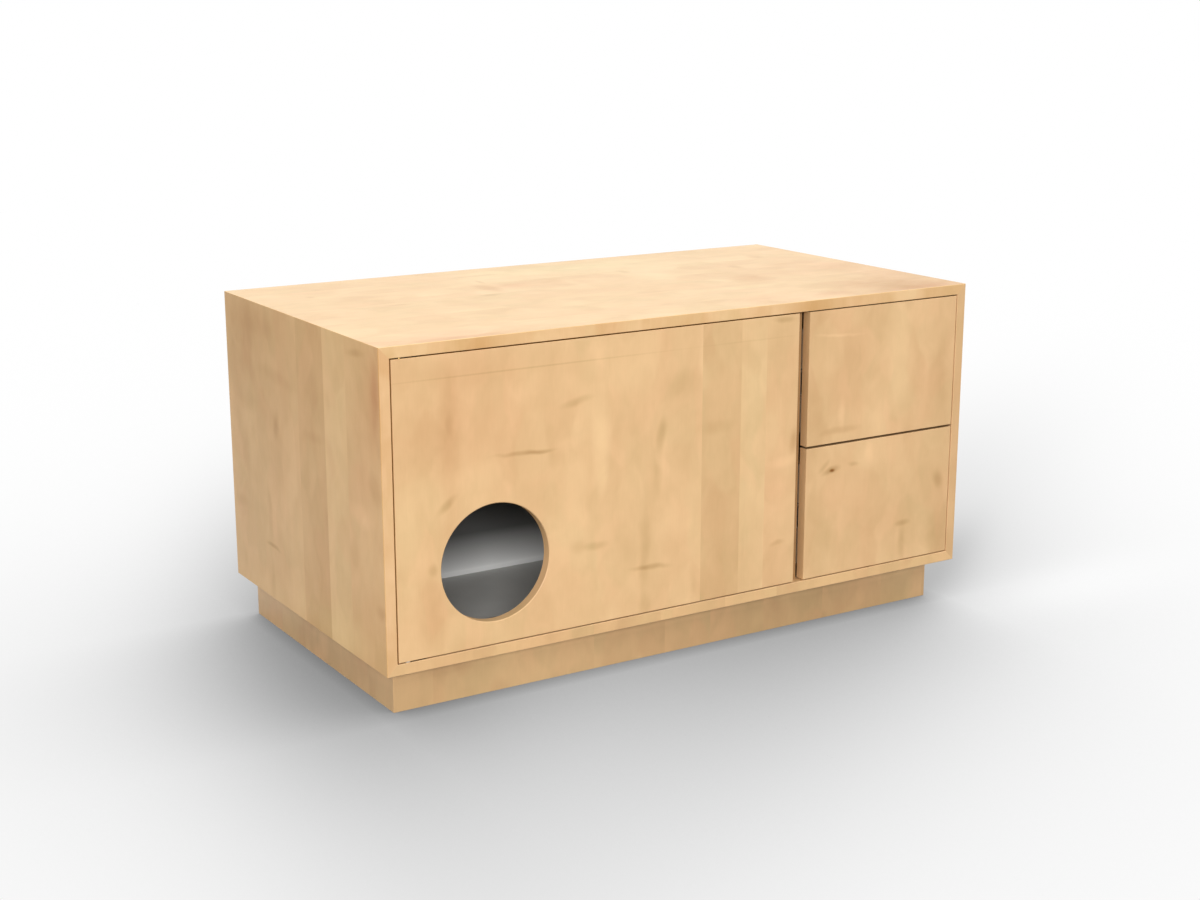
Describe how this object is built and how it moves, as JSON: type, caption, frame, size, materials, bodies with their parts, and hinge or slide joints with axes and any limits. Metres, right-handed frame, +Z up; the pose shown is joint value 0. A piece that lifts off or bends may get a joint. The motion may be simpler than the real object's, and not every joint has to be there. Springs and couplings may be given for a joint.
{
  "type": "litter box enclosure",
  "caption": "Low maple cabinet on a plinth that hides a litter tray: a pivot-hung door with a round cat entrance, and handle-less drawers beside it on telescopic runners.",
  "frame": {"origin": "floor level, under the middle of the carcass", "axes": "+X to the right seen from the front, -Y towards the front, +Z up"},
  "size_m": [1.2, 0.646, 0.615],
  "materials": {
    "maple": "satin oiled maple",
    "drawer_birch": "lacquered birch plywood",
    "beech": "raw beech",
    "runner_zinc": "zinc plated",
    "screw_steel": "zinc plated",
    "pivot_brass": "satin brass",
    "washer_nylon": "matt nylon",
    "catch_plastic": "moulded, matt",
    "catch_magnet": "ground ferrite",
    "tray_plastic": "moulded, satin",
    "mat_rubber": "ribbed, matt"
  },
  "bodies": {
    "carcass": {"top_panel": "maple", "bottom_panel": "maple", "left_side_panel": "maple", "right_side_panel": "maple", "divider_panel": "maple", "back_panel": "maple", "mitre_splines": "beech", "divider_dowels": "beech", "back_panel_screws": "screw_steel", "plinth_front": "maple", "plinth_back": "maple", "plinth_left": "maple", "plinth_right": "maple", "plinth_cross_rail": "beech", "plinth_corner_blocks": "beech", "plinth_screws": "screw_steel", "top_pivot_seat": "pivot_brass", "bottom_pivot_pin_plate": "pivot_brass", "pivot_washer": "washer_nylon", "carcass_fitting_screws": "screw_steel", "catch_body": "catch_plastic", "catch_magnet": "catch_magnet", "litter_tray": "tray_plastic", "tray_mat": "mat_rubber", "cabinet_runner_screws": "screw_steel", "upper_left_cabinet_runner": "runner_zinc", "upper_right_cabinet_runner": "runner_zinc", "lower_left_cabinet_runner": "runner_zinc", "lower_right_cabinet_runner": "runner_zinc"},
    "door": {"door_panel": "maple", "top_pivot_pin_plate": "pivot_brass", "bottom_pivot_seat": "pivot_brass", "strike_plate": "screw_steel", "door_fitting_screws": "screw_steel"},
    "upper_drawer": {"upper_drawer_front": "maple", "upper_drawer_inner_front": "drawer_birch", "upper_drawer_left_side": "drawer_birch", "upper_drawer_right_side": "drawer_birch", "upper_drawer_back": "drawer_birch", "upper_drawer_bottom": "drawer_birch", "upper_drawer_front_screws": "screw_steel", "upper_drawer_runner_screws": "screw_steel", "upper_left_drawer_runner": "runner_zinc", "upper_right_drawer_runner": "runner_zinc"},
    "upper_runners": {"upper_left_middle_runner": "runner_zinc", "upper_right_middle_runner": "runner_zinc"},
    "lower_drawer": {"lower_drawer_front": "maple", "lower_drawer_inner_front": "drawer_birch", "lower_drawer_left_side": "drawer_birch", "lower_drawer_right_side": "drawer_birch", "lower_drawer_back": "drawer_birch", "lower_drawer_bottom": "drawer_birch", "lower_drawer_front_screws": "screw_steel", "lower_drawer_runner_screws": "screw_steel", "lower_left_drawer_runner": "runner_zinc", "lower_right_drawer_runner": "runner_zinc"},
    "lower_runners": {"lower_left_middle_runner": "runner_zinc", "lower_right_middle_runner": "runner_zinc"}
  },
  "joints": [
    {"name": "door_hinge", "type": "hinge", "parent": "carcass", "child": "door", "pos_m": [-0.561, -0.315, 0.3475], "axis": [0, 0, -1], "range_deg": [0, 110]},
    {"name": "upper_drawer_slide", "type": "slide", "parent": "carcass", "child": "upper_drawer", "axis": [0, -1, 0], "range_m": [0, 0.5]},
    {"name": "upper_runner_slide", "type": "slide", "parent": "carcass", "child": "upper_runners", "axis": [0, -1, 0], "range_m": [0, 0.25]},
    {"name": "lower_drawer_slide", "type": "slide", "parent": "carcass", "child": "lower_drawer", "axis": [0, -1, 0], "range_m": [0, 0.5]},
    {"name": "lower_runner_slide", "type": "slide", "parent": "carcass", "child": "lower_runners", "axis": [0, -1, 0], "range_m": [0, 0.25]}
  ],
  "couplings": [
    {"joint": "upper_runner_slide", "follows": "upper_drawer_slide", "ratio": 0.5},
    {"joint": "lower_runner_slide", "follows": "lower_drawer_slide", "ratio": 0.5}
  ]
}
